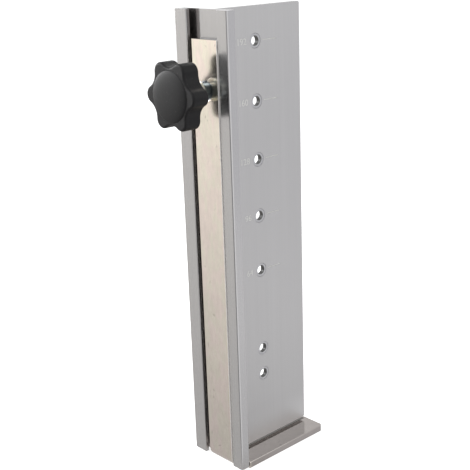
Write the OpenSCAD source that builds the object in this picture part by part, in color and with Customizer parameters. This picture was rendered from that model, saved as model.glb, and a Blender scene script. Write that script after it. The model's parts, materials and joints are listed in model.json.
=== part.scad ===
// Handle drilling jig: an aluminium profile whose web lies against a door's edge and whose plate
// carries hardened drill bushes on the 32 mm handle grid. A bent steel stop slides in the web's
// outer channel, its foot catches the door's lower edge, and a star knob clamps it.
//
// Row frame: the origin is on the foot's underside, straight below the column of holes, in the
// plane of the plate's front face. +X runs along the plate, +Y to the rear, +Z up.
// Sections are drawn from the web's outer face (X) and the front strip's face (Y), and are then
// carried into the row frame by in_row().

/* [Profile] */
// Height of the profile's top above the centre of the highest hole
top_margin = 18.2; // [12:0.2:60]
// Thickness of the web that lies against the door's edge
web_t = 6; // [5.6:0.1:10]
// Depth of the nest in front of the drill plate
nest_d = 13.5; // [11:0.5:18]
// Thickness of the drill plate
plate_t = 3; // [2.5:0.1:5]
// Reach of the drill plate from the web's inner face
plate_reach = 60.2; // [50:0.2:90]
// Height of the drill plate's lower edge above the web's lower edge
plate_rise = 4.4; // [4.4:0.1:8]
// Radius on the web's long outer edges
web_edge_r = 1; // [0.4:0.1:1.5]
// Radius on the plate's long free edges
plate_edge_r = 0.5; // [0.2:0.1:1.2]
// Radius of the fillets where the plate meets the web
root_r = 1; // [0.5:0.1:1.5]
// Radius of the plate's free corners
plate_corner_r = 1.5; // [0.5:0.1:6]

/* [Channel] */
// Width of the front strip, in front of the channel
strip_w = 7.6; // [6:0.1:9]
// Width of the rear rail, behind the channel
rail_w = 9.5; // [7:0.1:12]
// Thickness of the rear rail's lip over the relief groove
lip_t = 2.3; // [1.8:0.1:2.6]
// Wall left behind the relief groove
relief_wall = 1.3; // [1:0.1:2]
// Gap between the stop's bar and the rear rail
bar_gap = 4.3; // [2.8:0.1:7]
// Reach of the relief groove under the rear rail's lip
relief_under_w = 6; // [3:0.1:6]
// Radius of the relief groove's front edge
relief_r = 1.2; // [0.6:0.1:1.4]

/* [Sliding stop] */
// Width of the stop's bar
bar_w = 19; // [16:0.5:19]
// Thickness of the bar and of the foot bent from it
bar_t = 4; // [3.7:0.1:4.4]
// How far the bar stands proud of the web's outer face
bar_proud = 0.7; // [0.4:0.1:1]
// How far the bar ends below the profile's top, with the stop drawn in
bar_drop = 14.6; // [6:0.2:20]
// Inner radius of the bend between bar and foot
bend_in_r = 2.5; // [1.5:0.1:4]
// Depth of the foot, front to back
foot_d = 30; // [24:0.5:36]
// How far the foot reaches past the plate's free edge
foot_over = 1.6; // [0:0.1:4]
// Radius of the foot's free corners
foot_corner_r = 2.4; // [0.5:0.1:5]
// Radius along the foot's long edges, top and bottom
foot_edge_r = 0.6; // [0.3:0.1:1.2]
// Travel of the stop
stop_travel = 40; // [20:1:60]

/* [Drilling grid] */
// Pitch of the furniture grid that the holes follow
grid_pitch = 32; // [25:1:32]
// Distance of the hole column from the web's outer face
column_x = 32; // [24:0.5:50]
// Height of the lowest hole above the foot's underside
first_hole_h = 46.8; // [30:0.2:60]
// Bore of the drill bushes
bush_bore_d = 5; // [3:0.1:5.5]
// Outer diameter of the drill bushes
bush_od = 8; // [7:0.1:10]
// Lead-in chamfer at both ends of a bush's bore
bush_lead = 0.3; // [0.1:0.05:0.6]
// Length of an index line beside a hole
index_len = 10; // [6:0.5:14]
// Width of an index line
index_w = 0.4; // [0.2:0.05:0.8]
// Depth of an index line
index_depth = 0.15; // [0.05:0.05:0.4]
// Gap between a bush and its index line
index_gap = 1.5; // [0.5:0.1:4]

/* [Clamp] */
// Distance of the clamp's axis below the bar's top
clamp_drop = 26.2; // [16:0.2:40]
// Outer diameter of the clamp stud's thread
stud_d = 7.9; // [6:0.1:8]
// Pitch of the stud's thread
stud_pitch = 1.25; // [1:0.05:1.5]
// Thickness of the sliding nut's head
nut_head_t = 1.4; // [1.2:0.1:2]
// Depth of the sliding nut's head, front to back
nut_head_w = 13.4; // [12.8:0.1:15]
// Wall between the nut's pocket and the relief groove
pocket_wall = 1; // [0.6:0.1:1.6]
// Height of the sliding nut's head
nut_head_h = 20; // [16:0.5:26]
// Outer diameter of the sliding nut's neck
nut_neck_d = 10.6; // [10.4:0.1:11.4]
// How far the neck ends below the bar's outer face
nut_neck_sink = 0.2; // [0.1:0.05:0.6]
// Corner radius of the sliding nut's head and of its pocket
nut_corner_r = 3; // [1:0.5:5]
// Reach of the fitting window in the drill plate's root
window_reach = 8; // [5:0.5:12]
// Gap between the insert's face and the bar, with the knob slackened as drawn
slack_gap = 4.7; // [1.5:0.1:5.6]

/* [Knob] */
// Diameter over the knob's lobes
knob_d = 37.4; // [32:0.2:44]
// Depth of the valleys between the lobes
valley_depth = 4; // [3:0.1:4.6]
// Number of lobes
lobes = 6; // [5:1:7]
// Radius of a lobe's tip
lobe_r = 4.5; // [4:0.1:5]
// Angle of the first lobe from the front, seen from the knob's face
lobe_turn = 0; // [0:0.5:30]
// Thickness of the knob from the rim's back to the middle of its face
rim_t = 11.6; // [9:0.1:14]
// Border between the raised middle of the knob's face and the valleys
face_margin = 1.5; // [0.6:0.1:5]
// Rise of the middle of the face over its edge
face_rise = 0.9; // [0.2:0.1:1.5]
// Fall of the lobes' tips below the edge of the face
lobe_fall = 0.5; // [0.4:0.1:2.5]
// Bevel on the rim's edges, at the lobes' tips
rim_bevel = 1.4; // [0.8:0.1:2]
// Diameter of the hub behind the rim
hub_d = 16; // [13:0.5:20]
// Length of the hub behind the rim
hub_len = 5.3; // [2:0.1:7]
// Width of the ring with which the steel insert presses on the bar, round the bar's hole
press_w = 0.65; // [0.5:0.05:1]
// Length of insert that stands out of the hub
insert_out = 3.8; // [1:0.1:7]
// Knob material left in front of the insert
knob_cap_t = 9.5; // [2:0.5:12]

/* [Hidden] */
$fn = 48;

// One overrun for every cut
over = 0.5;
// Clearance of a running fit, on the radius or on each side
run_gap = 0.05;
// Clearance of a bush in its hole, on the radius
press_gap = 0.01;
// Clearance of the stop in its channel and notch, on each side
slide_gap = 0.1;
// Gap between the foot and the web's inner face
foot_gap = 0.15;
// Height of the web's lower edge above the foot's underside
web_rise = 1.4;

// Holes of the grid, in shares of its pitch above the lowest hole, and how many of them, from
// the top, have an index line
hole_shares = [0, 0.5, 2, 3, 4, 5, 6];
indexed_holes = 5;

// The last share belongs to the highest hole
profile_top = hole_h(hole_shares[len(hole_shares) - 1]) + top_margin;
plate_base = web_rise + plate_rise;
plate_edge_x = web_t + plate_reach;
plate_back_y = nest_d + plate_t;
foot_edge_x = plate_edge_x + foot_over;
foot_front_y = nest_d + plate_t / 2 - foot_d / 2;

bar_front_y = strip_w + slide_gap;
bar_back_y = bar_front_y + bar_w;
bar_mid_y = bar_front_y + bar_w / 2;
bar_top_h = profile_top - bar_drop;
bend_out_r = bend_in_r + bar_t;
channel_depth = bar_t - bar_proud;
channel_back_y = bar_back_y + bar_gap;
web_d = channel_back_y + rail_w;
bend_x = channel_depth + bend_in_r;

clamp_h = bar_top_h - clamp_drop;
slot_w = nut_neck_d + 2 * run_gap;
pocket_depth = nut_head_t + 2 * run_gap;
pocket_floor_x = web_t - pocket_depth;
pocket_w = nut_head_w + 2 * slide_gap;
pocket_top = clamp_h + nut_head_h / 2 + slide_gap;
pocket_base = clamp_h - stop_travel - nut_head_h / 2 - slide_gap;
relief_floor_x = web_t - relief_wall;
relief_front_y = bar_mid_y + pocket_w / 2 + pocket_wall;

insert_d = slot_w + 2 * press_w;
insert_face_x = -bar_proud - slack_gap;
hub_face_x = insert_face_x - insert_out;
rim_back_x = hub_face_x - hub_len;
rim_front_x = rim_back_x - rim_t;
insert_end_x = rim_front_x + knob_cap_t;
// The stud's tip lies just inside the web's inner face when the insert meets the bar
stud_tip_x = web_t - run_gap - slack_gap;
nut_face_x = -bar_proud + nut_neck_sink;
thread_chamfer = stud_pitch / 2;

// Star outline: round valleys that cut a little into the round lobes, so that the circles cross
// instead of only touching
valley_bite = 0.03;
lobe_at = knob_d / 2 - lobe_r;
half_turn = 180 / lobes;
valley_reach = knob_d / 2 - valley_depth;
lobe_join = lobe_r - valley_bite;
valley_r = (lobe_at * lobe_at + valley_reach * valley_reach - lobe_join * lobe_join
            - 2 * lobe_at * valley_reach * cos(half_turn))
           / (2 * (lobe_join + lobe_at * cos(half_turn) - valley_reach));
valley_at = valley_reach + valley_r;
face_r = valley_reach - face_margin;

anodised = [0.70, 0.70, 0.71];
brushed = [0.80, 0.77, 0.73];
zinc = [0.72, 0.75, 0.78];
hardened = [0.55, 0.55, 0.56];
black = [0.15, 0.15, 0.15];

// Carries a piece drawn from the web's outer face and the strip's face into the row frame
module in_row() {
    translate([-column_x, -nest_d, 0]) children();
}

// Turns a shape drawn along +Z so that it runs along +X from x, on the clamp's axis
module on_clamp_axis(x) {
    translate([x, bar_mid_y, clamp_h]) rotate([0, 90, 0]) children();
}

// Rectangle from corner low to corner high with round corners
module rounded_rect(low, high, r) {
    translate([low.x + r, low.y]) square([high.x - low.x - 2 * r, high.y - low.y]);
    translate([low.x, low.y + r]) square([high.x - low.x, high.y - low.y - 2 * r]);
    for (x = [low.x + r, high.x - r]) {
        for (y = [low.y + r, high.y - r]) {
            translate([x, y]) circle(r = r);
        }
    }
}

// Corner piece at the origin, bounded by an arc towards +X and +Y: added, it fills a corner,
// and cut away, it rounds an edge
module corner(r) {
    difference() {
        translate([-over, -over]) square(r + over);
        translate([r, r]) circle(r = r);
    }
}

// Upright slab whose outline is drawn in Y and Z, from x to x + t
module upright(x, t) {
    translate([x, 0, 0]) rotate([90, 0, 90]) linear_extrude(t) children();
}

// Section of the web, with the outer channel and its relief groove
module web_section() {
    difference() {
        rounded_rect([0, 0], [web_t, web_d], web_edge_r);
        translate([-over, strip_w]) square([over + channel_depth, channel_back_y - strip_w]);
        translate([lip_t, channel_back_y - over]) {
            square([relief_floor_x - lip_t, relief_under_w + over]);
        }
        translate([0, relief_front_y]) square([relief_floor_x, channel_back_y - relief_front_y]);
        translate([channel_depth, relief_front_y]) mirror([0, 1]) corner(relief_r);
    }
}

// The drill plate, standing, with its two free corners round
module plate_blank() {
    intersection() {
        linear_extrude(profile_top) {
            rounded_rect([web_t - web_edge_r, nest_d], [plate_edge_x, plate_back_y], plate_edge_r);
        }
        translate([0, plate_back_y + over, 0]) rotate([90, 0, 0]) linear_extrude(plate_t + 2 * over) {
            rounded_rect([0, plate_base], [plate_edge_x, profile_top], plate_corner_r);
            translate([0, plate_base]) square([web_t, profile_top - plate_base]);
        }
    }
}

// Fillets on both sides of the plate's root
module plate_roots() {
    translate([0, 0, plate_base]) linear_extrude(profile_top - plate_base) {
        translate([web_t, plate_back_y]) corner(root_r);
        translate([web_t, nest_d]) mirror([0, 1]) corner(root_r);
    }
}

// Slot through the channel's floor, for the nut's neck over its whole travel
module neck_slot() {
    upright(-over, web_t + 2 * over) {
        translate([bar_mid_y, clamp_h]) circle(d = slot_w);
        translate([bar_mid_y, clamp_h - stop_travel]) circle(d = slot_w);
        translate([bar_mid_y - slot_w / 2, clamp_h - stop_travel]) square([slot_w, stop_travel]);
    }
}

// Pocket in the web's inner face that holds the nut's head flush
module nut_pocket() {
    upright(pocket_floor_x, pocket_depth + over) {
        rounded_rect([bar_mid_y - pocket_w / 2, pocket_base],
                     [bar_mid_y + pocket_w / 2, pocket_top], nut_corner_r);
    }
}

// Window in the plate's root, through which the nut goes into its pocket
module fitting_window() {
    depth = plate_t + 2 * (root_r + over);
    translate([0, nest_d - root_r - over + depth, 0]) rotate([90, 0, 0]) linear_extrude(depth) {
        rounded_rect([web_t, pocket_base], [web_t + window_reach, pocket_top], nut_corner_r);
        translate([web_t, pocket_base]) square([nut_corner_r, pocket_top - pocket_base]);
    }
}

// Notch in the web's lower end, where the bar turns under it into the foot
module foot_notch() {
    translate([-over, bar_front_y - slide_gap, web_rise - over]) {
        cube([web_t + 2 * over, bar_w + 2 * slide_gap, bend_out_r + slide_gap - web_rise + over]);
    }
}

// Height of a hole above the foot's underside
function hole_h(share) = first_hole_h + share * grid_pitch;

// Cylinder through the plate at a hole's place
module across_plate(share, d, y, length) {
    translate([column_x, y + length, hole_h(share)]) rotate([90, 0, 0]) cylinder(d = d, h = length);
}

// Index line to the right of a hole
module index_line(share) {
    translate([column_x + bush_od / 2 + index_gap, nest_d - over, hole_h(share) - index_w / 2]) {
        cube([index_len, over + index_depth, index_w]);
    }
}

module jig_profile() {
    color(anodised) in_row() difference() {
        union() {
            translate([0, 0, web_rise]) linear_extrude(profile_top - web_rise) web_section();
            plate_blank();
            plate_roots();
        }
        neck_slot();
        nut_pocket();
        fitting_window();
        foot_notch();
        for (share = hole_shares) {
            across_plate(share, bush_od, nest_d - over, plate_t + 2 * over);
        }
        for (i = [len(hole_shares) - indexed_holes : len(hole_shares) - 1]) {
            index_line(hole_shares[i]);
        }
    }
}

// Outline of bar, bend and a first length of foot, drawn in X and Z
module stop_outline(foot_end) {
    translate([-bar_proud, bend_out_r]) square([bar_t, bar_top_h - bend_out_r]);
    translate([bend_x, 0]) square([foot_end - bend_x, bar_t]);
    intersection() {
        translate([bend_x, bend_out_r]) difference() {
            circle(r = bend_out_r);
            circle(r = bend_in_r);
        }
        translate([-bar_proud, 0]) square([bend_x + bar_proud, bend_out_r]);
    }
}

// The foot's outline in X and Y: its left end is square, its free corners are round
module foot_outline() {
    left = web_t + foot_gap;
    rounded_rect([left, foot_front_y], [foot_edge_x, foot_front_y + foot_d], foot_corner_r);
    translate([left, foot_front_y]) square([foot_corner_r, foot_d]);
}

module sliding_stop() {
    neck_end_x = web_t + foot_gap + foot_corner_r;
    color(brushed) in_row() difference() {
        union() {
            translate([0, bar_back_y, 0]) rotate([90, 0, 0]) linear_extrude(bar_w) {
                stop_outline(neck_end_x);
            }
            intersection() {
                linear_extrude(bar_t) foot_outline();
                upright(0, foot_edge_x) {
                    rounded_rect([foot_front_y, 0], [foot_front_y + foot_d, bar_t], foot_edge_r);
                }
            }
        }
        on_clamp_axis(-bar_proud - over) cylinder(d = nut_neck_d + 2 * run_gap, h = bar_t + 2 * over);
    }
}

module clamp_nut() {
    head_x = pocket_floor_x + run_gap;
    thread_d = stud_d + 2 * run_gap;
    color(zinc) in_row() difference() {
        union() {
            upright(head_x, nut_head_t) {
                rounded_rect([bar_mid_y - nut_head_w / 2, clamp_h - nut_head_h / 2],
                             [bar_mid_y + nut_head_w / 2, clamp_h + nut_head_h / 2], nut_corner_r);
            }
            on_clamp_axis(nut_face_x) cylinder(d = nut_neck_d, h = head_x - nut_face_x);
        }
        on_clamp_axis(nut_face_x - over) cylinder(d = thread_d, h = web_t - nut_face_x + 2 * over);
        on_clamp_axis(nut_face_x) {
            cylinder(d1 = thread_d + 2 * thread_chamfer, d2 = thread_d, h = thread_chamfer);
        }
    }
}

module knob_insert() {
    color(zinc) in_row() difference() {
        on_clamp_axis(insert_end_x) cylinder(d = insert_d, h = insert_face_x - insert_end_x);
        on_clamp_axis(insert_end_x - over) {
            cylinder(d = stud_d + 2 * run_gap, h = insert_face_x - insert_end_x + 2 * over);
        }
    }
}

module knob_stud() {
    start_x = insert_end_x + run_gap;
    tip_d = stud_d - 2 * thread_chamfer;
    color(zinc) in_row() union() {
        on_clamp_axis(start_x) cylinder(d = stud_d, h = stud_tip_x - thread_chamfer - start_x);
        on_clamp_axis(stud_tip_x - thread_chamfer) {
            cylinder(d1 = stud_d, d2 = tip_d, h = thread_chamfer);
        }
    }
}

// Star with round lobes and round valleys
module star() {
    difference() {
        union() {
            polygon([for (i = [0 : 2 * lobes - 1])
                let (a = i * half_turn, r = i % 2 == 0 ? lobe_at : valley_at)
                [r * cos(a), r * sin(a)]]);
            star_ring(lobe_at, lobe_r, 0);
        }
        star_ring(valley_at, valley_r, half_turn);
    }
}

// One circle for each lobe, on a ring, turned by the given angle
module star_ring(at, r, turn) {
    for (i = [0 : lobes - 1]) {
        rotate(turn + 2 * half_turn * i) translate([at, 0]) circle(r = r);
    }
}

// Half section that the star is cut to: domed face, falling lobes, and bevels that run on past
// the lobes' tips
module knob_section() {
    rim = knob_d / 2;
    front = rim_t - face_rise;
    tip = front - lobe_fall;
    polygon([[0, 0], [rim - rim_bevel, 0], [rim + over, rim_bevel + over],
             [rim + over, tip - rim_bevel - over], [rim - rim_bevel, tip],
             [face_r, front], [0, front]]);
    dome(front);
}

// Shallow dome over the middle of the face
module dome(base) {
    r = (face_r * face_r + face_rise * face_rise) / (2 * face_rise);
    intersection() {
        translate([0, base + face_rise - r]) circle(r = r, $fn = 4 * $fn);
        translate([0, base - over]) square([face_r, over + face_rise]);
    }
}

module knob_grip() {
    bore_d = insert_d + 2 * run_gap;
    color(black) in_row() difference() {
        union() {
            on_clamp_axis(rim_back_x) rotate([180, 0, 0]) intersection() {
                rotate_extrude($fn = 2 * $fn) knob_section();
                linear_extrude(rim_t) rotate(lobe_turn - 90) star();
            }
            on_clamp_axis(rim_back_x - over) cylinder(d = hub_d, h = hub_len + over);
        }
        on_clamp_axis(insert_end_x - run_gap) {
            cylinder(d = bore_d, h = hub_face_x - insert_end_x + run_gap + over);
        }
    }
}

module drill_bush(share) {
    outer = bush_od - 2 * press_gap;
    lead_d = bush_bore_d + 2 * bush_lead;
    color(hardened) in_row() difference() {
        across_plate(share, outer, nest_d, plate_t);
        across_plate(share, bush_bore_d, nest_d - over, plate_t + 2 * over);
        translate([column_x, nest_d, hole_h(share)]) rotate([-90, 0, 0]) {
            cylinder(d1 = lead_d, d2 = bush_bore_d, h = bush_lead);
        }
        translate([column_x, plate_back_y, hole_h(share)]) rotate([90, 0, 0]) {
            cylinder(d1 = lead_d, d2 = bush_bore_d, h = bush_lead);
        }
    }
}

jig_profile();
sliding_stop();
clamp_nut();
knob_grip();
knob_insert();
knob_stud();
drill_bush(hole_shares[0]);  // drill_bush_0
drill_bush(hole_shares[1]);  // drill_bush_16
drill_bush(hole_shares[2]);  // drill_bush_64
drill_bush(hole_shares[3]);  // drill_bush_96
drill_bush(hole_shares[4]);  // drill_bush_128
drill_bush(hole_shares[5]);  // drill_bush_160
drill_bush(hole_shares[6]);  // drill_bush_192
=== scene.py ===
import json
import math

import bmesh
import bpy
from mathutils import Matrix, Vector


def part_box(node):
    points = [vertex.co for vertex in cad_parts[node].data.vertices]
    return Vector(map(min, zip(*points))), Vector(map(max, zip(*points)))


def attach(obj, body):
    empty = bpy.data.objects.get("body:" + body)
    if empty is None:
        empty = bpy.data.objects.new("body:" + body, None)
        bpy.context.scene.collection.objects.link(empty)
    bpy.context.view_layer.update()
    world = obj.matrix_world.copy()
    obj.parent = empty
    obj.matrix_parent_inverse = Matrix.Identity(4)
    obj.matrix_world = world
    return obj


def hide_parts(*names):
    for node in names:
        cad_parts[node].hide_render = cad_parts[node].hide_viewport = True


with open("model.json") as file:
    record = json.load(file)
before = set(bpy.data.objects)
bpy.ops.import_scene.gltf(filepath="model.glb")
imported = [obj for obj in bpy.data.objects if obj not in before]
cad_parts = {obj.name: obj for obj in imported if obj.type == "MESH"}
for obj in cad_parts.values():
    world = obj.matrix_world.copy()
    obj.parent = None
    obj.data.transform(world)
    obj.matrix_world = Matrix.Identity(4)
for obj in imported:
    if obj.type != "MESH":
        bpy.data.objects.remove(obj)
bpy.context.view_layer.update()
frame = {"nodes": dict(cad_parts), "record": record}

bl_info = {
    "name": "Handle Drilling Jig",
    "version": (1, 0, 0),
    "blender": (4, 5, 0),
    "location": "View3D > Sidebar > Drilling Jig",
    "description": "Dresses the drilling jig: profile, sliding stop, star knob, stud and bushes",
    "category": "Object",
}

MM = 0.001
MERGE = 0.001 * MM  # vertices closer than this are one
NEAR = 0.01 * MM  # an edge that leans less than this is upright
LONG_EDGE = 200 * MM  # the profile's long edges are longer than this
SHARP = math.radians(30)  # an edge that turns more than this is sharp
TURN_STEPS = 64  # sides of a turned piece
CLEARANCE = 0.05 * MM  # of the insert in the grip and of the stud in the insert
THREAD_STEPS = 40  # sides of a turn of the thread
LOBES = 6
LOBE_STEPS = 16  # sides of one lobe's arc
VALLEY_STEPS = 12  # sides of one valley's arc
RIM_MARGIN = 0.5 * MM  # the rim's edges lie at least this far outside the middle
CROWN_RINGS = (0.992, 0.97, 0.93, 0.87, 0.78, 0.66, 0.5, 0.34, 0.17, 0.04)
CROWN_TOP = 2.6  # a larger power flattens the crown's top
CROWN_EDGE = 0.62  # a smaller power steepens the crown's edge

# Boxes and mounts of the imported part, which give the new pieces their sizes and places
PROFILE_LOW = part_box("jig_profile")[0]
GRIP_LOW, GRIP_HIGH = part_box("knob_grip")
INSERT_LOW, INSERT_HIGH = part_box("knob_insert")
STUD_LOW, STUD_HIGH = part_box("knob_stud")
BUSH_LOW, BUSH_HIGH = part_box("drill_bush_0")
BUSH_Z = (BUSH_LOW.z + BUSH_HIGH.z) / 2
STOP_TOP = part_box("sliding_stop")[1].z
CLAMP_Y = (STUD_LOW.y + STUD_HIGH.y) / 2
CLAMP_Z = (STUD_LOW.z + STUD_HIGH.z) / 2
MOUNTS = {mount["name"]: Vector(mount["pos_m"]) for mount in frame["record"]["mounts"]}
WEB_FACE_X = MOUNTS["web_face_front"].x
PLATE_BACK_Y = MOUNTS["plate_face_rear"].y

# The holes by their height in millimetres above the lowest one, and those with a number
HOLE_HEIGHTS = (0, 16, 64, 96, 128, 160, 192)
HOLE_GRID = 16 * MM
NUMBERED = HOLE_HEIGHTS[2:]
FIGURE_HEIGHT = 0.7  # height of a figure as a share of the font's size

# Where a finish changes along one axis: (no effect, full effect)
ON_PLATE_X = (WEB_FACE_X + 2 * MM, WEB_FACE_X + 4 * MM)
ON_WEB_X = (WEB_FACE_X + 2 * MM, WEB_FACE_X - 0.2 * MM)
PLATE_LOW_Z = (28 * MM, 7 * MM)
PLATE_UNDERSIDE_Z = (5.95 * MM, 5.85 * MM)
GROOVE_OUTER_X = (WEB_FACE_X - 2.9 * MM, WEB_FACE_X - 2.4 * MM)
GROOVE_INNER_X = (WEB_FACE_X - 0.2 * MM, WEB_FACE_X - 0.8 * MM)
GROOVE_FRONT_Y = (11.0 * MM, 13.5 * MM)
GROOVE_REAR_Y = (24.6 * MM, 24.0 * MM)
LINE_START_X = (5.1 * MM, 5.3 * MM)
LINE_END_X = (15.9 * MM, 15.7 * MM)
LINE_FLOOR_Y = (0.03 * MM, 0.05 * MM)
LINE_BACK_Y = (0.6 * MM, 0.5 * MM)
BAR_TOP_Z = (STOP_TOP - 0.22 * MM, STOP_TOP - 0.06 * MM)
BAR_SIDE_X = (WEB_FACE_X - 0.2 * MM, WEB_FACE_X - 1.0 * MM)
BAR_SIDE_Y = (-5.60 * MM, -5.72 * MM)
ON_FOOT_X = (WEB_FACE_X - 0.2 * MM, WEB_FACE_X + 2 * MM)
SHADE_FRONT_Y = (0, 0.4 * MM)
SHADE_REAR_Y = (PLATE_BACK_Y + 0.6 * MM, PLATE_BACK_Y + 0.2 * MM)
SHADE_END_X = (34.5 * MM, 34.0 * MM)
BORE_WALL = (2.72 * MM, 2.62 * MM)

# Faint casts that the rolled steel's colour is multiplied by
PINK_CAST = (1.015, 0.985, 0.99)
GREEN_CAST = (0.985, 1.01, 0.965)

# The studio that the metal mirrors: colours on the floor by the distance from the jig, a painted
# reflection with painted shade that darkens it towards the jig
STUDIO_REACH = 2.0
REAR_STUDIO = (
    (0.0, (0.62, 0.605, 0.59)),
    (0.10, (0.74, 0.72, 0.705)),
    (0.22, (0.82, 0.80, 0.775)),
    (0.45, (0.865, 0.84, 0.815)),
    (0.70, (0.92, 0.89, 0.86)),
    (1.0, (0.94, 0.91, 0.875)),
)
FRONT_STUDIO = (
    (0.0, (0.78, 0.775, 0.785)),
    (0.10, (0.96, 0.955, 0.97)),
    (0.22, (0.95, 0.945, 0.965)),
    (0.30, (0.84, 0.84, 0.87)),
    (1.0, (0.84, 0.84, 0.875)),
)
OFF_ZERO = 0.01  # keeps a distance that divides off zero

# Sectors of the floor by direction, each (no effect, full effect), and the colours of the
# painted dark and light sectors
REAR_TO_FRONT = (-0.75, 0.75)
CAMERA_SECTOR = (-0.35, -0.8)
DARK_SECTOR = (-0.1, -0.5)
BRIGHT_SECTOR = (0.0, 0.4)
DARK_SIDE = (0.30, 0.295, 0.30)
BRIGHT_SIDE = (1.22, 1.21, 1.23)
WHITE = (1, 1, 1, 1)
FLOOR_WHITE = 0.80
SOFT_LIGHT = (0.97, 0.985, 1, 1)
SOFT_STRENGTH = 0.45

# Lamps: name, place, aim, size in metres and power in watts
LAMPS = (
    ("key_light", (-1.0, 0.6, 0.95), (0, 0, 0.15), 0.7, 9.0),
    ("fill_light", (0.6, -1.3, 0.9), (0, 0, 0.12), 1.0, 3.0),
    ("sheen_light", (-0.393, 1.126, 0.466), (-0.05, 0, 0.21), 0.45, 11.0),
)

# The camera's right, up and backward directions, and its sensor in millimetres
CAMERA_AXES = (
    (0.73061, -0.68199, -0.03323),
    (0.22609, 0.19571, 0.95424),
    (-0.64428, -0.70469, 0.29718),
)
SENSOR_WIDTH = 36


# ---------------------------------------------------------------- modelling helpers


def start_clean():
    """Leaves edit mode and deselects everything, so that an operator acts on new work only."""
    if bpy.context.object and bpy.context.object.mode != "OBJECT":
        bpy.ops.object.mode_set(mode="OBJECT")
    bpy.ops.object.select_all(action="DESELECT")


def only(piece):
    """Makes piece the one selected and active object."""
    start_clean()
    piece.select_set(True)
    bpy.context.view_layer.objects.active = piece
    return piece


def name_new(name):
    """Names the primitive that was just added, and its mesh."""
    piece = bpy.context.object
    piece.name = name
    piece.data.name = name
    return piece


def pick(piece, kind, test):
    """In edit mode, selects the verts, edges or faces whose place and normal pass the test."""
    bpy.ops.mesh.select_mode(type={"verts": "VERT", "edges": "EDGE", "faces": "FACE"}[kind])
    bpy.ops.mesh.select_all(action="DESELECT")
    mesh = bmesh.from_edit_mesh(piece.data)
    found = [part for part in getattr(mesh, kind) if test(part)]
    for part in found:
        part.select_set(True)
    mesh.select_flush_mode()
    bmesh.update_edit_mesh(piece.data)
    if not found:
        raise RuntimeError(f"{piece.name}: nothing to select")


def apply_all(piece):
    """Applies the piece's modifiers in order."""
    only(piece)
    for modifier in list(piece.modifiers):
        bpy.ops.object.modifier_apply(modifier=modifier.name)


def settle(piece):
    """Puts the piece's place into its mesh and leaves its object at the origin."""
    only(piece)
    bpy.ops.object.transform_apply(location=True, rotation=True, scale=True)
    return piece


def smooth(piece, degrees):
    """Smooths by angle, with the normals led by the large faces, so that flats stay flat."""
    only(piece)
    bpy.ops.object.shade_smooth_by_angle(angle=math.radians(degrees))
    flat = piece.modifiers.new("flats", "WEIGHTED_NORMAL")
    flat.keep_sharp = True
    flat.weight = 90
    apply_all(piece)


def single_vertex(name, place):
    """Starts a piece from one vertex, in edit mode, with its object at the origin."""
    start_clean()
    bpy.ops.mesh.primitive_plane_add(size=MM, location=place)
    piece = name_new(name)
    bpy.ops.object.mode_set(mode="EDIT")
    bpy.ops.mesh.select_mode(type="VERT")
    bpy.ops.mesh.select_all(action="SELECT")
    bpy.ops.mesh.merge(type="CENTER")
    bpy.ops.object.mode_set(mode="OBJECT")
    settle(piece)
    bpy.ops.object.mode_set(mode="EDIT")
    bpy.ops.mesh.select_all(action="SELECT")
    return piece


def merge_all(distance):
    """In edit mode, merges the vertices that lie closer than distance."""
    bpy.ops.mesh.select_all(action="SELECT")
    bpy.ops.mesh.remove_doubles(threshold=distance)


def draw_to(step):
    """Extrudes the selected vertices, edges or faces by step."""
    bpy.ops.mesh.extrude_region_move(TRANSFORM_OT_translate={"value": step})


def turned(name, stations, axis, centre):
    """Turns a closed half section about an axis. A station is (place on it, radius)."""
    axis, centre = Vector(axis), Vector(centre)

    def at(station):
        return centre + axis * station[0] + Vector((0, 0, station[1]))

    here = at(stations[0])
    piece = single_vertex(name, here)
    for station in stations[1:] + stations[:1]:
        draw_to(at(station) - here)
        here = at(station)
    merge_all(MERGE)
    bpy.ops.mesh.select_all(action="SELECT")
    bpy.ops.mesh.spin(steps=TURN_STEPS, angle=2 * math.pi, center=centre, axis=axis)
    merge_all(MERGE)
    bpy.ops.mesh.normals_make_consistent(inside=False)
    bpy.ops.object.mode_set(mode="OBJECT")
    return piece


def copy_of_node(node, name):
    """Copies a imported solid's mesh as a new piece, merged and freed of its triangulation."""
    start_clean()
    piece = bpy.data.objects.new(name, frame["nodes"][node].data.copy())
    piece.data.name = name
    bpy.context.scene.collection.objects.link(piece)
    only(piece)
    bpy.ops.object.mode_set(mode="EDIT")
    merge_all(MERGE)
    bpy.ops.mesh.select_all(action="SELECT")
    bpy.ops.mesh.dissolve_limited(angle_limit=math.radians(0.5))
    bpy.ops.object.mode_set(mode="OBJECT")
    bpy.ops.mesh.customdata_custom_splitnormals_clear()
    return piece


# ---------------------------------------------------------------- shader helpers


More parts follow.
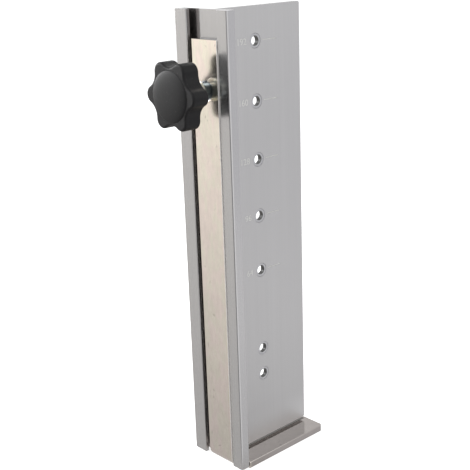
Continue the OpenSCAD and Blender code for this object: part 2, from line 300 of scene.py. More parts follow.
class Wire:
    """An output socket. Sums and products of wires add Math nodes to the finish."""

    def __init__(self, finish, socket):
        self.finish = finish
        self.socket = socket

    def math(self, operation, *others):
        values = dict(enumerate((self,) + others))
        return self.finish.add("ShaderNodeMath", {"operation": operation}, values)

    def __add__(self, other):
        return self.math("ADD", other)

    def __radd__(self, other):
        return self.math("ADD", other)

    def __sub__(self, other):
        return self.math("SUBTRACT", other)

    def __rsub__(self, other):
        return self.finish.add("ShaderNodeMath", {"operation": "SUBTRACT"}, {0: other, 1: self})

    def __mul__(self, other):
        return self.math("MULTIPLY", other)

    def __rmul__(self, other):
        return self.math("MULTIPLY", other)

    def __truediv__(self, other):
        return self.math("DIVIDE", other)

    def smooth(self, low, high):
        """Rises smoothly from 0 at low to 1 at high, whichever of the two is larger."""
        ends = (low, high) if low < high else (high, low)
        there = (0, 1) if low < high else (1, 0)
        return self.finish.add(
            "ShaderNodeMapRange",
            {"interpolation_type": "SMOOTHSTEP"},
            {0: self, 1: ends[0], 2: ends[1], 3: there[0], 4: there[1]},
        )

    def between(self, rise, fall):
        """1 between two edges, each given as (no effect, full effect)."""
        return self.smooth(*rise) * self.smooth(*fall)

    def most(self, other):
        return self.math("MAXIMUM", other)


class Finish:
    """A material or a world, and the methods that add its nodes."""

    def __init__(self, owner):
        self.owner = owner
        owner.use_nodes = True
        self.tree = owner.node_tree
        self.tree.nodes.clear()

    def add(self, kind, settings=None, values=None, output=0):
        """Adds a node, sets its settings first and then its sockets, and returns an output."""
        node = self.tree.nodes.new(kind)
        for key, value in (settings or {}).items():
            if key == "stops":
                self.set_stops(node.color_ramp, value)
            else:
                setattr(node, key, value)
        for key, value in (values or {}).items():
            socket = node.inputs[key]
            if isinstance(value, Wire):
                self.tree.links.new(value.socket, socket)
            else:
                socket.default_value = value
        if not len(node.outputs):
            return node
        return Wire(self, node.outputs[output])

    @staticmethod
    def set_stops(ramp, stops):
        while len(ramp.elements) > 1:
            ramp.elements.remove(ramp.elements[-1])
        for i, (place, colour) in enumerate(stops):
            element = ramp.elements[0] if i == 0 else ramp.elements.new(place)
            element.position = place
            element.color = (*colour, 1)

    def place(self):
        """Object coordinates, in metres in the row frame."""
        return self.add("ShaderNodeTexCoord", output="Object")

    def axes(self, place):
        node = self.add("ShaderNodeSeparateXYZ", values={0: place}).socket.node
        return [Wire(self, socket) for socket in node.outputs]

    def stretched(self, place, scale):
        """The place with each axis scaled, so that a pattern is drawn out along one."""
        return self.add("ShaderNodeMapping", values={"Vector": place, "Scale": scale})

    def noise(self, place, scale, detail=2, roughness=0.5, distortion=0, along=None):
        """Noise with scale features to the metre, stretched where along scales an axis."""
        if along:
            place = self.stretched(place, along)
        return self.add(
            "ShaderNodeTexNoise",
            values={
                "Vector": place,
                "Scale": scale,
                "Detail": detail,
                "Roughness": roughness,
                "Distortion": distortion,
            },
        )

    def mix(self, share, first, second):
        """Mixes two colours."""
        first, second = (
            c if isinstance(c, Wire) else (*c, 1) for c in (first, second)
        )
        return self.add(
            "ShaderNodeMix",
            {"data_type": "RGBA", "clamp_factor": True},
            {0: share, 6: first, 7: second},
            output=2,
        )

    def tinted(self, colour, tone):
        """The colour, made darker or lighter by tone."""
        return self.add(
            "ShaderNodeVectorMath", {"operation": "SCALE"}, {0: colour, "Scale": tone}
        )

    def bump(self, height, distance, strength):
        return self.add(
            "ShaderNodeBump",
            values={"Height": height, "Distance": distance, "Strength": strength},
        )

    def surface(self, values):
        """Ends the finish in a Principled shader."""
        shader = self.add("ShaderNodeBsdfPrincipled", values=values)
        self.add("ShaderNodeOutputMaterial", values={"Surface": shader})
        return self.owner

    def rays(self):
        """Three outputs that are 1 for a ray from the camera, off a mirror and through glass."""
        kinds = ("Is Camera Ray", "Is Glossy Ray", "Is Transmission Ray")
        return [self.add("ShaderNodeLightPath", output=kind) for kind in kinds]


def new_finish(name):
    """Starts a material with no nodes."""
    return Finish(bpy.data.materials.new(name))


def dress(piece, material):
    """Gives the whole piece one material."""
    piece.data.materials.clear()
    piece.data.materials.append(material)


def dress_node(node, material):
    """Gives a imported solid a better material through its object's slots."""
    piece = frame["nodes"][node]
    for slot in piece.material_slots:
        slot.material = material


# ---------------------------------------------------------------- settings


def length(name, description, default):
    return bpy.props.FloatProperty(
        name=name,
        description=description,
        default=default,
        min=0,
        subtype="DISTANCE",
        unit="LENGTH",
        precision=5,
    )


def colour(name, description, default):
    return bpy.props.FloatVectorProperty(
        name=name, description=description, default=default, subtype="COLOR", min=0, max=1
    )


def share(name, description, default):
    return bpy.props.FloatProperty(
        name=name, description=description, default=default, min=0, max=1, subtype="FACTOR"
    )


class ProfileSettings(bpy.types.PropertyGroup):
    """The aluminium profile and its numbers."""

    metal: colour("Metal", "Colour of the anodised aluminium", (0.515, 0.51, 0.51))
    roughness: share("Roughness", "How much the plate's face blurs a reflection", 0.36)
    web_polish: share("Web polish", "How much less the web's faces blur a reflection", 0.22)
    metallic: share("Metallic", "How far the anodised face is a mirror and not a matt skin", 0.9)
    # Painted shade: the colour that darkens the relief groove where shade falls in it
    groove: colour("Groove", "Colour deep in the relief groove", (0.30, 0.28, 0.27))
    ink: colour("Numbers", "Colour of the lasered lines and numbers", (0.85, 0.85, 0.80))
    line_cover: share("Line cover", "How far the lasered lines cover the metal", 0.95)
    # Painted light: these two make the plate's lowest part and its underside lighter than the
    # rest of the metal
    low_light: share("Low light", "How much lighter the plate's lowest part is", 0.17)
    underside_light: share("Underside light", "How much lighter the plate's underside is", 0.6)
    corner: length("Corner", "Softening of the profile's sharp long edges", 0.12 * MM)
    lip_y: length("Lip", "Depth of the rear lip's edge beside the bar", 17.5 * MM)
    lip_round: length("Lip rounding", "Rounding of the rear lip's edge", 0.45 * MM)
    number_height: length("Number height", "Height of the lasered numbers", 3.4 * MM)
    number_gap: length("Number gap", "From the hole's centre to the end of its number", 6.2 * MM)
    mark_depth: length("Mark depth", "Half the thickness of the lasered numbers", 0.01 * MM)


class StopSettings(bpy.types.PropertyGroup):
    """The bent steel stop."""

    # Painted light and shade: the steel's colour runs from the first, lighter near the knob, to
    # the second, darker near the foot
    bright: colour("Bright", "Colour of the rolled steel near the knob", (0.94, 0.862, 0.778))
    dull: colour("Dull", "Colour of the rolled steel near the foot", (0.64, 0.59, 0.555))
    foot: colour("Foot", "Colour of the foot", (0.385, 0.357, 0.342))
    # Painted light: this pale colour stands on the bar's front side in place of the dark line it
    # would show
    side: colour("Side", "Colour of the bar's rolled sides", (0.95, 0.93, 0.90))
    # Painted shade: this dark colour is put on the bar's upper end and on the foot's top right
    # under the plate
    end: colour("Cut end", "Colour of the bar's cut upper end", (0.09, 0.085, 0.08))
    shade: share("Shade", "How dark the foot's top is right under the plate", 0.85)
    roughness: share("Roughness", "How much the rolled steel blurs a reflection", 0.13)
    side_blur: share("Side blur", "How much more the bar's sides blur a reflection", 0.4)
    fade_height: length("Fade height", "Height at which the steel is brightest", 240 * MM)
    edge: length("Edge", "Softened edge of the bar and the foot", 0.15 * MM)


class KnobSettings(bpy.types.PropertyGroup):
    """The star knob, its insert and its stud."""

    plastic: colour("Plastic", "Colour of the moulded grip", (0.0065, 0.0062, 0.0070))
    dust: colour("Dust", "Colour of the pale specks on the grip", (0.12, 0.115, 0.11))
    roughness: share("Roughness", "How much the moulded grip blurs a reflection", 0.48)
    gloss: share("Gloss", "Strength of the reflections on the grip", 0.25)
    zinc: colour("Zinc", "Colour of the zinc plating", (0.44, 0.49, 0.50))
    zinc_warm: colour("Warm zinc", "Colour of the plating's yellow patches", (0.46, 0.47, 0.43))
    # Painted shade: the thread's zinc is given a dark colour that stands in for the dark knob
    # and bar it mirrors
    thread: colour("Thread", "Colour of the oiled thread", (0.17, 0.19, 0.19))
    zinc_roughness: share("Zinc roughness", "How much the plating blurs a reflection", 0.16)
    thread_roughness: share("Thread roughness", "How much the thread blurs a reflection", 0.26)
    rim_radius: length("Rim radius", "Half the diameter over the lobes", 18.7 * MM)
    valley_radius: length("Valley radius", "From the axis to the bottom of a valley", 14.7 * MM)
    lobe_radius: length("Lobe radius", "Radius of a lobe's tip", 4.5 * MM)
    lobe_turn: bpy.props.FloatProperty(
        name="Lobe turn",
        description="Turn of the first lobe above the front",
        default=0,
        subtype="ANGLE",
        unit="ROTATION",
    )
    edge: length("Edge", "Rounding along the rim's edges", 1.2 * MM)
    hub_radius: length("Hub radius", "Radius of the hub behind the rim", 8 * MM)
    hub_edge: length("Hub edge", "Chamfer of the hub's two edges", 0.4 * MM)
    hub_length: length("Hub length", "Length of the hub behind the rim", 5.3 * MM)
    face_radius: length("Face radius", "Half the diameter of the raised middle", 13.2 * MM)
    face_step: length("Face step", "How far the middle's edge stands over the lobes", 0.5 * MM)
    crown: length("Crown", "How far the middle's crown stands over its edge", 0.9 * MM)
    collar_edge: length("Collar edge", "Rounding of the collar's edges", 0.45 * MM)
    pitch: length("Pitch", "Pitch of the stud's thread", 1.25 * MM)
    thread_depth: length("Thread depth", "Depth of the stud's thread", 0.68 * MM)


class BushSettings(bpy.types.PropertyGroup):
    """The drill bushes."""

    metal: colour("Metal", "Colour of the hardened steel", (0.50, 0.50, 0.51))
    # Painted shade: the colour that darkens the bore's walls where shade falls in the hole
    dark: colour("Bore", "Colour of the bore's dark walls", (0.10, 0.10, 0.10))
    roughness: share("Roughness", "How much the hardened steel blurs a reflection", 0.24)
    outer: length("Outer radius", "Half the bush's outer diameter", 3.99 * MM)
    bore: length("Bore radius", "Half the bush's bore", 2.5 * MM)
    lead: length("Lead-in", "Chamfer at the ends of the bore", 0.3 * MM)
    rim: length("Rim", "Chamfer round the outside of a bush", 0.22 * MM)


class StageSettings(bpy.types.PropertyGroup):
    """Floor, light and camera."""

    floor: colour("Floor", "Colour of the floor", (0.85, 0.85, 0.85))
    floor_size: length("Floor size", "Side of the floor", 30.0)
    camera_place: bpy.props.FloatVectorProperty(
        name="Camera place",
        description="Where the camera stands",
        default=(-0.3582, -0.3709, 0.2924),
        subtype="TRANSLATION",
        unit="LENGTH",
        precision=4,
    )
    lens: bpy.props.FloatProperty(
        name="Lens", description="Focal length on a 36 mm sensor", default=73.85, unit="CAMERA"
    )


# ---------------------------------------------------------------- finishes


def anodised_finish(s):
    """Satin anodised aluminium: drawn grain along the profile, painted shade deep in the relief
    groove, and painted light on the plate's lowest part and underside.
    """
    f = new_finish("anodised_aluminium")
    place = f.place()
    x, y, z = f.axes(place)
    lines = f.noise(place, 1, detail=3, roughness=0.65, along=(1400, 1400, 7))
    broad = f.noise(place, 1, along=(160, 160, 3))
    cloud = f.noise(place, 35, detail=3, roughness=0.55)
    speck = f.noise(place, 2600)
    tone = 0.90 + 0.10 * lines + 0.06 * broad + 0.03 * cloud
    # Painted light: the plate's lowest part and its underside are made lighter than the rest of
    # the metal
    plate = x.smooth(*ON_PLATE_X)
    low = plate * z.smooth(*PLATE_LOW_Z)
    underside = plate * z.smooth(*PLATE_UNDERSIDE_Z)
    metal = f.tinted(s.metal, tone * (1 + s.low_light * low + s.underside_light * underside))
    # Painted shade: deep in the relief groove the metal takes a dark colour
    groove = x.between(GROOVE_OUTER_X, GROOVE_INNER_X) * y.between(GROOVE_FRONT_Y, GROOVE_REAR_Y)
    base = f.mix(groove, metal, s.groove)
    line = x.between(LINE_START_X, LINE_END_X) * y.between(LINE_FLOOR_Y, LINE_BACK_Y)
    base = f.mix(s.line_cover * line, base, s.ink)
    grain = 0.6 * lines + 0.4 * speck
    blur = s.roughness - s.web_polish * x.smooth(*ON_WEB_X) + 0.2 * line
    return f.surface(
        {
            "Base Color": base,
            "Metallic": s.metallic * (1 - 0.8 * line),
            "Roughness": blur + 0.06 * lines + 0.04 * cloud,
            "Normal": f.bump(grain, distance=0.004 * MM, strength=0.5),
        }
    )


def rolled_finish(s):
    """Bare rolled steel: warm, mottled and finely scratched, with painted light towards the top
    and painted shade towards the foot.
    """
    f = new_finish("rolled_steel")
    place = f.place()
    x, y, z = f.axes(place)
    mottle = f.noise(place, 420, detail=4, roughness=0.65, along=(1, 1, 0.45))
    cloud = f.noise(place, 55, detail=3, roughness=0.6)
    drawn = f.noise(place, 2400, along=(1, 1, 0.02))
    nick = f.noise(place, 300, detail=1, roughness=0.4, distortion=0.8, along=(1, 1, 0.6))
    nick = nick.smooth(0.71, 0.76)
    tone = 0.84 + 0.20 * mottle + 0.10 * cloud + 0.03 * drawn - 0.15 * nick
    # Painted light and shade: the steel is lighter towards the top and darker towards the foot
    metal = f.mix(z / s.fade_height + 0.14 * (cloud - 0.5), s.dull, s.bright)
    tint = f.noise(place, 170, along=(1, 1, 0.5)).smooth(0.40, 0.62)
    cast = f.mix(tint, PINK_CAST, GREEN_CAST)
    metal = f.add("ShaderNodeVectorMath", {"operation": "MULTIPLY"}, {0: metal, 1: cast})
    foot = x.smooth(*ON_FOOT_X)
    metal = f.mix(foot, metal, s.foot)
    # Painted shade: the bar's upper end and the foot's top right under the plate take the dark
    # cut-end colour
    metal = f.mix(z.smooth(*BAR_TOP_Z), metal, s.end)
    shade = foot * y.between(SHADE_FRONT_Y, SHADE_REAR_Y) * x.smooth(*SHADE_END_X)
    metal = f.mix(s.shade * shade, metal, s.end)
    # Painted light: the bar's rolled front side is given a pale colour in place of the dark line
    # it would show
    side = x.smooth(*BAR_SIDE_X) * y.smooth(*BAR_SIDE_Y)
    metal = f.mix(side, metal, s.side)
    blur = (s.roughness - 0.04 + 0.10 * mottle + 0.06 * cloud) * (1 - 0.4 * foot)
    relief = (0.5 * mottle + 0.3 * drawn - 0.6 * nick) * (1 - 0.6 * foot)
    return f.surface(
        {
            "Base Color": f.tinted(metal, tone),
            "Metallic": 1.0,
            "Roughness": blur + s.side_blur * side,
            "Normal": f.bump(relief, distance=0.010 * MM, strength=0.5),
        }
    )


def plastic_finish(s):
    """Black moulded plastic with a fine spark-eroded texture."""
    f = new_finish("black_plastic")
    place = f.place()
    fine = f.noise(place, 5200, roughness=0.6)
    cloud = f.noise(place, 90)
    dust = f.noise(place, 1900, detail=1, roughness=0.4).smooth(0.70, 0.78)
    base = f.mix(0.35 * dust, s.plastic, s.dust)
    return f.surface(
        {
            "Base Color": base,
            "Roughness": s.roughness + 0.06 * fine + 0.05 * cloud,
            "Specular IOR Level": s.gloss,
            "Normal": f.bump(fine, distance=0.010 * MM, strength=0.6),
        }
    )


def zinc_finish(name, plain, yellow, roughness):
    """Zinc plating whose cast changes between two colours."""
    f = new_finish(name)
    place = f.place()
    cast = f.noise(place, 260)
    fine = f.noise(place, 3000)
    base = f.mix(cast.smooth(0.35, 0.7), plain, yellow)
    return f.surface(
        {
            "Base Color": base,
            "Metallic": 1.0,
            "Roughness": roughness + 0.10 * fine,
            "Normal": f.bump(fine, distance=0.004 * MM, strength=0.5),
        }
    )


def hardened_finish(s):
    """Ground hardened steel, with painted shade down the bore."""
    f = new_finish("hardened_steel")
    place = f.place()
    rings = f.noise(place, 1800, along=(1, 6, 1))
    tone = 0.88 + 0.2 * rings
    x, _, z = f.axes(place)
    # The holes stand on a 16 mm grid, so wrapped heights serve every bush
    height = (z - BUSH_Z).math("WRAP", HOLE_GRID / 2, -HOLE_GRID / 2)
    # Painted shade: inside the bore's radius the steel takes the dark bore colour
    inner = (x * x + height * height).math("SQRT").smooth(*BORE_WALL)
    return f.surface(
        {
            "Base Color": f.mix(inner, f.tinted(s.metal, tone), s.dark),
            "Metallic": 0.9,
            "Roughness": s.roughness + 0.10 * rings,
            "Normal": f.bump(rings, distance=0.004 * MM, strength=0.5),
        }
    )


def ink_finish(s):
    """Lasered numbers: a thin pale matt mark."""
    f = new_finish("lasered_mark")
    wear = f.noise(f.place(), 1500)
    base = f.mix(0.5 * wear, s.ink, s.metal)
    return f.surface({"Base Color": base, "Metallic": 0.3, "Roughness": 0.5 + 0.1 * wear})


# ---------------------------------------------------------------- pieces


class JIG_OT_build_profile(bpy.types.Operator):
    """Builds the drilled profile with the rounded corners of an extrusion"""

    bl_idname = "jig.build_profile"
    bl_label = "Build Profile"

    def execute(self, context):
        s = context.scene.jig_profile_settings
        piece = copy_of_node("jig_profile", "drilled_profile")

        def sharp_upright(edge):
            a, b = (v.co for v in edge.verts)
            upright = math.hypot(a.x - b.x, a.y - b.y) < NEAR and abs(a.z - b.z) > LONG_EDGE
            return upright and edge.is_convex and edge.calc_face_angle() > SHARP

        def lip_upright(edge):
            at = edge.verts[0].co
            off_lip = max(abs(at.x - PROFILE_LOW.x), abs(at.y - s.lip_y))
            return off_lip < 10 * NEAR and sharp_upright(edge)

        bpy.ops.object.mode_set(mode="EDIT")
        pick(piece, "edges", lip_upright)
        bpy.ops.mesh.bevel(offset=s.lip_round, segments=4, affect="EDGES", profile=0.5)
        pick(piece, "edges", sharp_upright)
        bpy.ops.mesh.bevel(offset=s.corner, segments=3, affect="EDGES", profile=0.5)
        bpy.ops.object.mode_set(mode="OBJECT")
        smooth(piece, 25)
        dress(piece, anodised_finish(s))
        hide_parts("jig_profile")
        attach(piece, "profile")
        return {"FINISHED"}


class JIG_OT_add_numbers(bpy.types.Operator):
    """Adds the lasered spacing numbers beside the holes"""

    bl_idname = "jig.add_numbers"
    bl_label = "Add Numbers"

    def execute(self, context):
        s = context.scene.jig_profile_settings
        finish = ink_finish(s)
        for number in NUMBERED:
            low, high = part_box(f"drill_bush_{number}")
            start_clean()
            bpy.ops.object.text_add(location=(0, 0, 0))
            text = bpy.context.object
            text.data.body = str(number)
            text.data.size = s.number_height / FIGURE_HEIGHT
            text.data.align_x = "RIGHT"
            text.data.align_y = "CENTER"
            text.data.extrude = s.mark_depth
            text.data.resolution_u = 4
            bpy.ops.object.convert(target="MESH")
            piece = name_new(f"number_{number}")
            place = Vector((-s.number_gap, 0.0, (low.z + high.z) / 2))
            piece.matrix_world = Matrix.Translation(place) @ Matrix.Rotation(
                math.pi / 2, 4, "X"
            )
            settle(piece)
            dress(piece, finish)
            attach(piece, "profile")
        return {"FINISHED"}


class JIG_OT_build_stop(bpy.types.Operator):
    """Builds the bent steel stop with softened edges"""

    bl_idname = "jig.build_stop"
    bl_label = "Build Sliding Stop"

    def execute(self, context):
        s = context.scene.jig_stop_settings
        piece = copy_of_node("sliding_stop", "bent_stop")
        bevel = piece.modifiers.new("edges", "BEVEL")
        bevel.width = s.edge
        bevel.segments = 3
        bevel.limit_method = "ANGLE"
        bevel.angle_limit = math.radians(35)
        apply_all(piece)
        smooth(piece, 40)
        dress(piece, rolled_finish(s))
        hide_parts("sliding_stop")
        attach(piece, "stop")
        return {"FINISHED"}


def star_arcs(s):
    """Where the lobe and valley circles lie, and how far round a lobe they meet."""
    half = math.pi / LOBES
    lobe_at = s.rim_radius - s.lobe_radius
    reach = s.valley_radius
    valley = (
        lobe_at**2 + reach**2 - s.lobe_radius**2 - 2 * lobe_at * reach * math.cos(half)
    ) / (2 * (s.lobe_radius + lobe_at * math.cos(half) - reach))
    valley_at = reach + valley
    lean = math.atan2(valley_at * math.sin(half), valley_at * math.cos(half) - lobe_at)
    return lobe_at, valley_at, lean, half


def from_axis(vertex):
    return math.hypot(vertex.co.y - CLAMP_Y, vertex.co.z - CLAMP_Z)


def ring_to(piece, x, radius, first=False):
    """Extrudes the selected ring of edges to a circle of the given radius at x."""
    mesh = bmesh.from_edit_mesh(piece.data)
    here = [v for v in mesh.verts if v.select]
    draw_to((x - here[0].co.x, 0, 0))
    if first:
        bpy.ops.transform.tosphere(value=1, center_override=(x, CLAMP_Y, CLAMP_Z))
    mesh = bmesh.from_edit_mesh(piece.data)
    here = [from_axis(v) for v in mesh.verts if v.select]
    scale = radius * len(here) / sum(here)
    bpy.ops.transform.resize(
        value=(1, scale, scale), center_override=(x, CLAMP_Y, CLAMP_Z)
    )


class JIG_OT_build_grip(bpy.types.Operator):
    """Builds the star grip: rounded rim, raised crowned middle and hub"""

    bl_idname = "jig.build_grip"
    bl_label = "Build Star Grip"

    def execute(self, context):
        s = context.scene.jig_knob_settings
        lobe_at, valley_at, lean, half = star_arcs(s)
        rim_back = GRIP_HIGH.x - s.hub_length
        rise = s.crown + s.face_step
        lobe_face = GRIP_LOW.x + rise

        def at(angle, distance):
            return Vector(
                (
                    rim_back,
                    CLAMP_Y + distance * math.cos(angle),
                    CLAMP_Z + distance * math.sin(angle),
                )
            )

        # The star's outline, one arc after another
        first = -s.lobe_turn
        begin = at(first, lobe_at) + s.lobe_radius * Vector(
            (0, math.cos(first - lean), math.sin(first - lean))
        )
        piece = single_vertex("star_grip", begin)
        for i in range(LOBES):
            angle = first + 2 * half * i
            bpy.ops.mesh.spin(
                steps=LOBE_STEPS, angle=-2 * lean, center=at(angle, lobe_at), axis=(1, 0, 0)
            )
            bpy.ops.mesh.spin(
                steps=VALLEY_STEPS,
                angle=2 * (lean - half),
                center=at(angle + half, valley_at),
                axis=(1, 0, 0),
            )
        merge_all(10 * MERGE)
        bpy.ops.mesh.select_all(action="SELECT")

        # Rim wall, flat lobes, and the middle that rises steeply and then gently to its crown
        draw_to((lobe_face - rim_back, 0, 0))
        ring_to(piece, lobe_face, s.face_radius, first=True)
        for part in CROWN_RINGS:
            up = rise * (1 - part**CROWN_TOP) ** CROWN_EDGE
            ring_to(piece, lobe_face - up, part * s.face_radius)
        bpy.ops.mesh.edge_face_add()

        # Back of the rim, hub, and the bore that the insert is moulded into
        pick(
            piece,
            "edges",
            lambda p: len(p.link_faces) == 1
            and all(abs(v.co.x - rim_back) < MERGE for v in p.verts),
        )
        soft = s.hub_edge
        bore = (INSERT_HIGH.y - INSERT_LOW.y) / 2 + CLEARANCE
        ring_to(piece, rim_back, s.hub_radius + soft, first=True)
        ring_to(piece, rim_back + soft, s.hub_radius)
        ring_to(piece, GRIP_HIGH.x - soft, s.hub_radius)
        ring_to(piece, GRIP_HIGH.x, s.hub_radius - soft)
        ring_to(piece, GRIP_HIGH.x, bore)
        ring_to(piece, INSERT_LOW.x - CLEARANCE, bore)
        bpy.ops.mesh.edge_face_add()
        bpy.ops.mesh.select_all(action="SELECT")
        bpy.ops.mesh.normals_make_consistent(inside=False)

        # The rim's two edges are rounded along the star
        def on_rim(edge):
            level = [v.co.x for v in edge.verts]
            ends = min(abs(level[0] - lobe_face), abs(level[0] - rim_back)) < MERGE
            walls = [p for p in edge.link_faces if abs(p.normal.x) < 0.5]
            out = all(from_axis(v) > s.face_radius + RIM_MARGIN for v in edge.verts)
            return out and ends and abs(level[0] - level[1]) < MERGE and len(walls) == 1

        pick(piece, "edges", on_rim)
        bpy.ops.mesh.bevel(offset=s.edge, segments=5, affect="EDGES", profile=0.5)
        bpy.ops.object.mode_set(mode="OBJECT")
        smooth(piece, 32)
        dress(piece, plastic_finish(s))
        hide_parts("knob_grip")
        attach(piece, "knob")
        return {"FINISHED"}


class JIG_OT_build_insert(bpy.types.Operator):
    """Builds the steel insert with its chamfered collar"""

    bl_idname = "jig.build_insert"
    bl_label = "Build Insert"

    def execute(self, context):
        s = context.scene.jig_knob_settings
        outer = (INSERT_HIGH.y - INSERT_LOW.y) / 2
        inner = (STUD_HIGH.y - STUD_LOW.y) / 2 + CLEARANCE
        back, face = INSERT_LOW.x, INSERT_HIGH.x
        soft = s.collar_edge
        shoulder = 0.3 * soft
        stations = [
            (back, inner),
            (back, outer),
            (face - soft, outer),
            (face - shoulder, outer - shoulder),
            (face, outer - soft),
            (face, inner + soft),
            (face - soft, inner),
        ]
        piece = turned("insert_collar", stations, (1, 0, 0), (0, CLAMP_Y, CLAMP_Z))
        smooth(piece, 30)
        dress(piece, zinc_finish("zinc_plate", s.zinc, s.zinc_warm, s.zinc_roughness))
        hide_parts("knob_insert")
        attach(piece, "insert")
        return {"FINISHED"}


class JIG_OT_build_stud(bpy.types.Operator):
    """Builds the stud with its running thread"""

    bl_idname = "jig.build_stud"
    bl_label = "Build Threaded Stud"

    def execute(self, context):
        s = context.scene.jig_knob_settings
        crest = (STUD_HIGH.y - STUD_LOW.y) / 2
        root = crest - s.thread_depth
        flat = s.pitch / 8
        slope = s.pitch / 2 - flat
        start = STUD_LOW.x - 2 * s.pitch
        piece = single_vertex("threaded_stud", (start, CLAMP_Y, CLAMP_Z + root))
        draw_to((flat, 0, 0))
        draw_to((slope, 0, s.thread_depth))
        draw_to((flat, 0, 0))
        draw_to((slope, 0, -s.thread_depth))
        bpy.ops.object.mode_set(mode="OBJECT")
        turns = math.ceil((STUD_HIGH.x - start) / s.pitch) + 2
        # The screw turns about the object's own origin, so the section moves there first
        to_axis = Matrix.Translation((0, -CLAMP_Y, -CLAMP_Z))
        piece.data.transform(to_axis)
        screw = piece.modifiers.new("thread", "SCREW")
        screw.axis = "X"
        screw.angle = 2 * math.pi
        screw.screw_offset = s.pitch
        screw.iterations = turns
        screw.steps = screw.render_steps = THREAD_STEPS
        screw.use_merge_vertices = True
        screw.merge_threshold = MERGE
        apply_all(piece)
        piece.data.transform(to_axis.inverted())
        bpy.ops.object.mode_set(mode="EDIT")
        for x, outward in ((STUD_LOW.x, -1), (STUD_HIGH.x, 1)):
            bpy.ops.mesh.select_all(action="SELECT")
            bpy.ops.mesh.bisect(
                plane_co=(x, 0, 0), plane_no=(outward, 0, 0), clear_outer=True, use_fill=True
            )
        merge_all(MERGE)
        bpy.ops.mesh.normals_make_consistent(inside=False)
        bpy.ops.object.mode_set(mode="OBJECT")
        smooth(piece, 35)
        # Painted shade: the thread's zinc takes the dark thread colour in place of the dark
        # surroundings it mirrors
        dress(piece, zinc_finish("thread_zinc", s.thread, s.thread, s.thread_roughness))
        dress_node("clamp_nut", bpy.data.materials["zinc_plate"])
        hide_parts("knob_stud")
        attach(piece, "knob")
        return {"FINISHED"}


class JIG_OT_build_bushes(bpy.types.Operator):
    """Builds one chamfered drill bush and copies it to the other holes"""

    bl_idname = "jig.build_bushes"
    bl_label = "Build Drill Bushes"

    def execute(self, context):
        s = context.scene.jig_bush_settings
        front, back = BUSH_LOW.y, BUSH_HIGH.y
        stations = [
            (front, s.bore + s.lead),
            (front, s.outer - s.rim),
            (front + s.rim, s.outer),
            (back - s.rim, s.outer),
            (back, s.outer - s.rim),
            (back, s.bore + s.lead),
            (back - s.lead, s.bore),
            (front + s.lead, s.bore),
        ]
        bush = turned("bush_0", stations, (0, 1, 0), (0, 0, BUSH_Z))
        smooth(bush, 30)
        dress(bush, hardened_finish(s))
        for spacing in HOLE_HEIGHTS[1:]:
            only(bush)
            bpy.ops.object.duplicate(linked=False)
            piece = name_new(f"bush_{spacing}")
            piece.location.z = spacing * MM
            settle(piece)
        for spacing in HOLE_HEIGHTS:
            piece = bpy.data.objects[f"bush_{spacing}"]
            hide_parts(f"drill_bush_{spacing}")
            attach(piece, "profile")
        return {"FINISHED"}


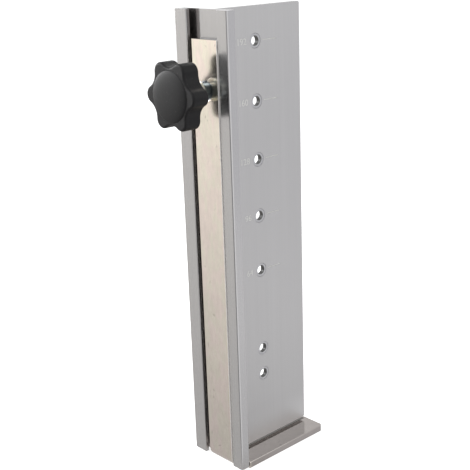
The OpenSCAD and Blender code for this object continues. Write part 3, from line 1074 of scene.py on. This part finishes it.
class JIG_OT_set_stage(bpy.types.Operator):
    """Adds the pale floor, the soft studio light and the camera"""

    bl_idname = "jig.set_stage"
    bl_label = "Set Stage"

    def execute(self, context):
        s = context.scene.jig_stage_settings
        self.add_floor(s)
        self.add_light()
        self.add_camera(s)
        return {"FINISHED"}

    @staticmethod
    def add_floor(s):
        start_clean()
        bpy.ops.mesh.primitive_plane_add(size=s.floor_size, location=(0, 0, 0))
        floor = name_new("floor")
        f = new_finish("floor_paint")
        x, y, _ = f.axes(f.place())
        distance = (x * x + y * y).math("SQRT")
        side = ((x - y) / (distance + OFF_ZERO)).smooth(*REAR_TO_FRONT)
        reach = {0: distance / STUDIO_REACH}
        # Painted shade: the colours that the metal mirrors darken towards the jig
        rear = f.add("ShaderNodeValToRGB", {"stops": REAR_STUDIO}, reach)
        front = f.add("ShaderNodeValToRGB", {"stops": FRONT_STUDIO}, reach)
        fade = f.mix(side, rear, front)
        # Painted reflection: on the camera's side of the web's corner, one sector is painted
        # dark and the next painted light
        beside, before = x - PROFILE_LOW.x, y - PROFILE_LOW.y
        away = (beside * beside + before * before).math("SQRT") + OFF_ZERO
        across = (beside - before) / away
        near = ((beside + before) / away).smooth(*CAMERA_SECTOR)
        fade = f.mix(near * across.smooth(*DARK_SECTOR), fade, DARK_SIDE)
        fade = f.mix(near * across.smooth(*BRIGHT_SECTOR), fade, BRIGHT_SIDE)
        camera, glossy, clear = f.rays()
        paint = f.add("ShaderNodeBsdfDiffuse", values={"Color": (*s.floor, 1)})
        white = f.add("ShaderNodeEmission", values={"Color": WHITE, "Strength": FLOOR_WHITE})
        seen = f.add("ShaderNodeAddShader", values={0: paint, 1: white})
        mirrored = f.add("ShaderNodeEmission", values={"Color": fade, "Strength": 1.0})
        shader = f.add("ShaderNodeMixShader", values={0: camera, 1: paint, 2: seen})
        shader = f.add(
            "ShaderNodeMixShader", values={0: glossy.most(clear), 1: shader, 2: mirrored}
        )
        f.add("ShaderNodeOutputMaterial", values={"Surface": shader})
        dress(floor, f.owner)

    @staticmethod
    def add_light():
        world = bpy.data.worlds.new("studio")
        f = Finish(world)
        camera, glossy, clear = f.rays()
        soft = f.add(
            "ShaderNodeBackground", values={"Color": SOFT_LIGHT, "Strength": SOFT_STRENGTH}
        )
        white = f.add("ShaderNodeBackground", values={"Color": WHITE, "Strength": 1.0})
        seen = camera.most(glossy).most(clear)
        shader = f.add("ShaderNodeMixShader", values={0: seen, 1: soft, 2: white})
        f.add("ShaderNodeOutputWorld", values={"Surface": shader})
        bpy.context.scene.world = world
        bpy.context.scene.view_settings.view_transform = "Standard"
        for name, place, aim, size, power in LAMPS:
            start_clean()
            bpy.ops.object.light_add(type="AREA", location=place)
            lamp = bpy.context.object
            lamp.name = name
            lamp.data.size = size
            lamp.data.energy = power
            toward = Vector(aim) - Vector(place)
            lamp.rotation_euler = toward.to_track_quat("-Z", "Y").to_euler()

    @staticmethod
    def add_camera(s):
        start_clean()
        bpy.ops.object.camera_add(location=s.camera_place)
        camera = bpy.context.object
        camera.name = "camera"
        turn = Matrix(CAMERA_AXES).transposed().to_4x4()
        camera.matrix_world = Matrix.Translation(s.camera_place) @ turn
        camera.data.sensor_width = SENSOR_WIDTH
        camera.data.sensor_fit = "HORIZONTAL"
        camera.data.lens = s.lens
        camera.data.clip_start = 0.01
        camera.data.dof.use_dof = False
        bpy.context.scene.camera = camera


# ---------------------------------------------------------------- panel and run


class JIG_PT_panel(bpy.types.Panel):
    """Lists the jig's settings and steps"""

    bl_label = "Drilling Jig"
    bl_idname = "JIG_PT_panel"
    bl_space_type = "VIEW_3D"
    bl_region_type = "UI"
    bl_category = "Drilling Jig"

    def draw(self, context):
        for group, settings, steps in SECTIONS:
            box = self.layout.box()
            owner = getattr(context.scene, group)
            for key in settings.__annotations__:
                box.prop(owner, key)
            for step in steps:
                box.operator(step.bl_idname)


SECTIONS = (
    ("jig_profile_settings", ProfileSettings, (JIG_OT_build_profile, JIG_OT_add_numbers)),
    ("jig_stop_settings", StopSettings, (JIG_OT_build_stop,)),
    (
        "jig_knob_settings",
        KnobSettings,
        (JIG_OT_build_grip, JIG_OT_build_insert, JIG_OT_build_stud),
    ),
    ("jig_bush_settings", BushSettings, (JIG_OT_build_bushes,)),
    ("jig_stage_settings", StageSettings, (JIG_OT_set_stage,)),
)


def register():
    for group, settings, steps in SECTIONS:
        bpy.utils.register_class(settings)
        setattr(bpy.types.Scene, group, bpy.props.PointerProperty(type=settings))
        for step in steps:
            bpy.utils.register_class(step)
    bpy.utils.register_class(JIG_PT_panel)


def unregister():
    bpy.utils.unregister_class(JIG_PT_panel)
    for group, settings, steps in reversed(SECTIONS):
        for step in steps:
            bpy.utils.unregister_class(step)
        delattr(bpy.types.Scene, group)
        bpy.utils.unregister_class(settings)


def main():
    register()
    bpy.ops.jig.build_profile()
    bpy.ops.jig.add_numbers()
    bpy.ops.jig.build_stop()
    bpy.ops.jig.build_grip()
    bpy.ops.jig.build_insert()
    bpy.ops.jig.build_stud()
    bpy.ops.jig.build_bushes()
    bpy.ops.jig.set_stage()
    start_clean()


if __name__ == "__main__":
    main()
